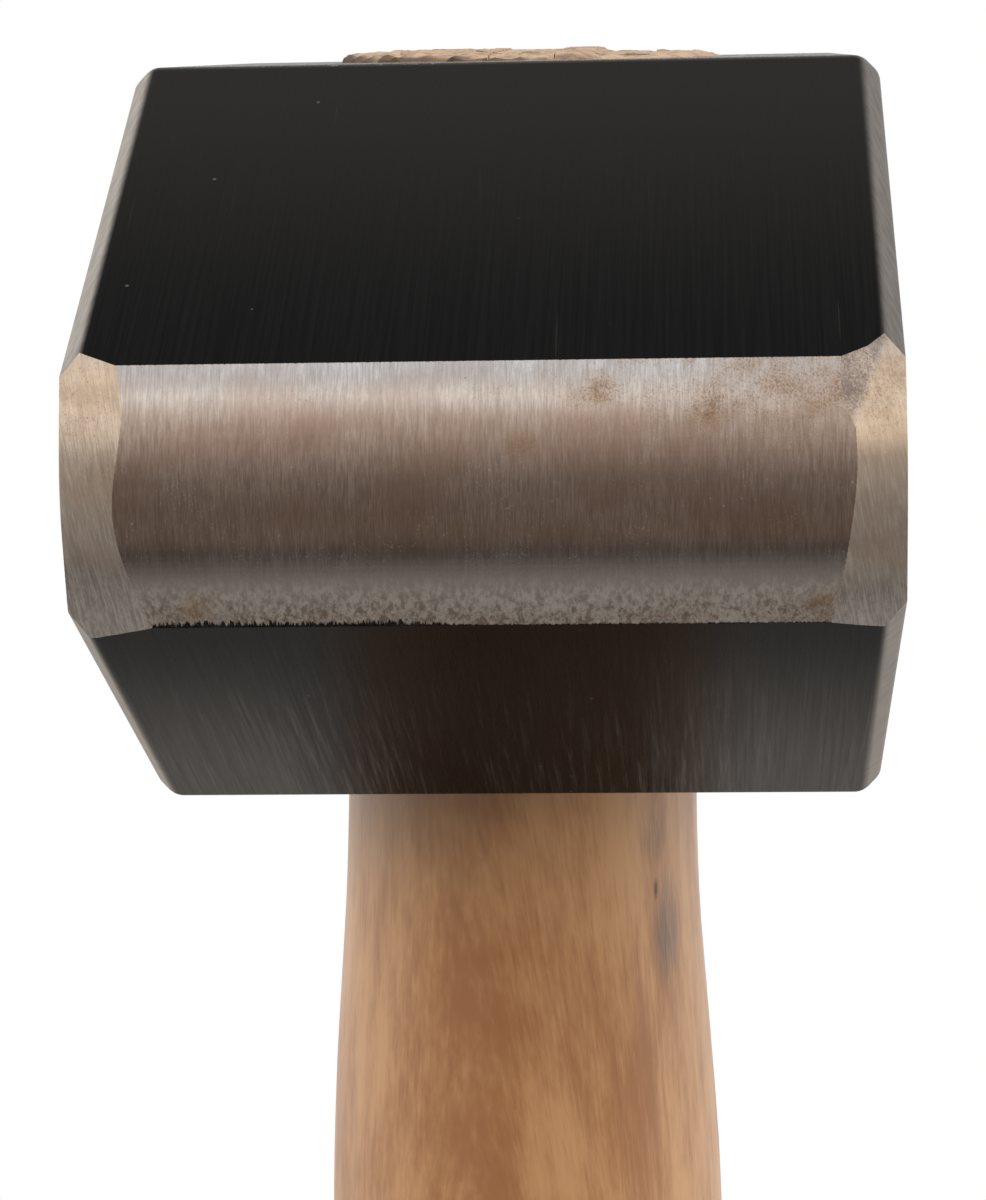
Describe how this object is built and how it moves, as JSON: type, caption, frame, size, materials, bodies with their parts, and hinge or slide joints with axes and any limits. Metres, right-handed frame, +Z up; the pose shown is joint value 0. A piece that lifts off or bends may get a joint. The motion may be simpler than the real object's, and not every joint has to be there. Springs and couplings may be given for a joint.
{
  "type": "lump hammer",
  "caption": "Lump hammer: a square steel head that tapers to crowned, ground striking faces, on an oval wooden handle wedged in its eye.",
  "frame": {"origin": "middle of the handle's butt, on the hammer's axis", "axes": "+Z up the handle to the head, Y along the head's length between its two striking faces, X across the head's flat cheeks"},
  "size_m": [0.046, 0.11, 0.26],
  "materials": {
    "lacquered_steel": "satin black lacquer on forged steel, with the crowned striking faces and the bevels beside them ground bare",
    "handle_wood": "smooth turned hardwood with a thin satin varnish, sawn end left bare",
    "wedge_wood": "bare sawn hardwood",
    "wedge_steel": "bare steel, dull"
  },
  "bodies": {
    "root": {"head": "lacquered_steel", "handle": "handle_wood", "wooden_wedge": "wedge_wood", "steel_wedge_front": "wedge_steel", "steel_wedge_back": "wedge_steel"}
  },
  "joints": []
}
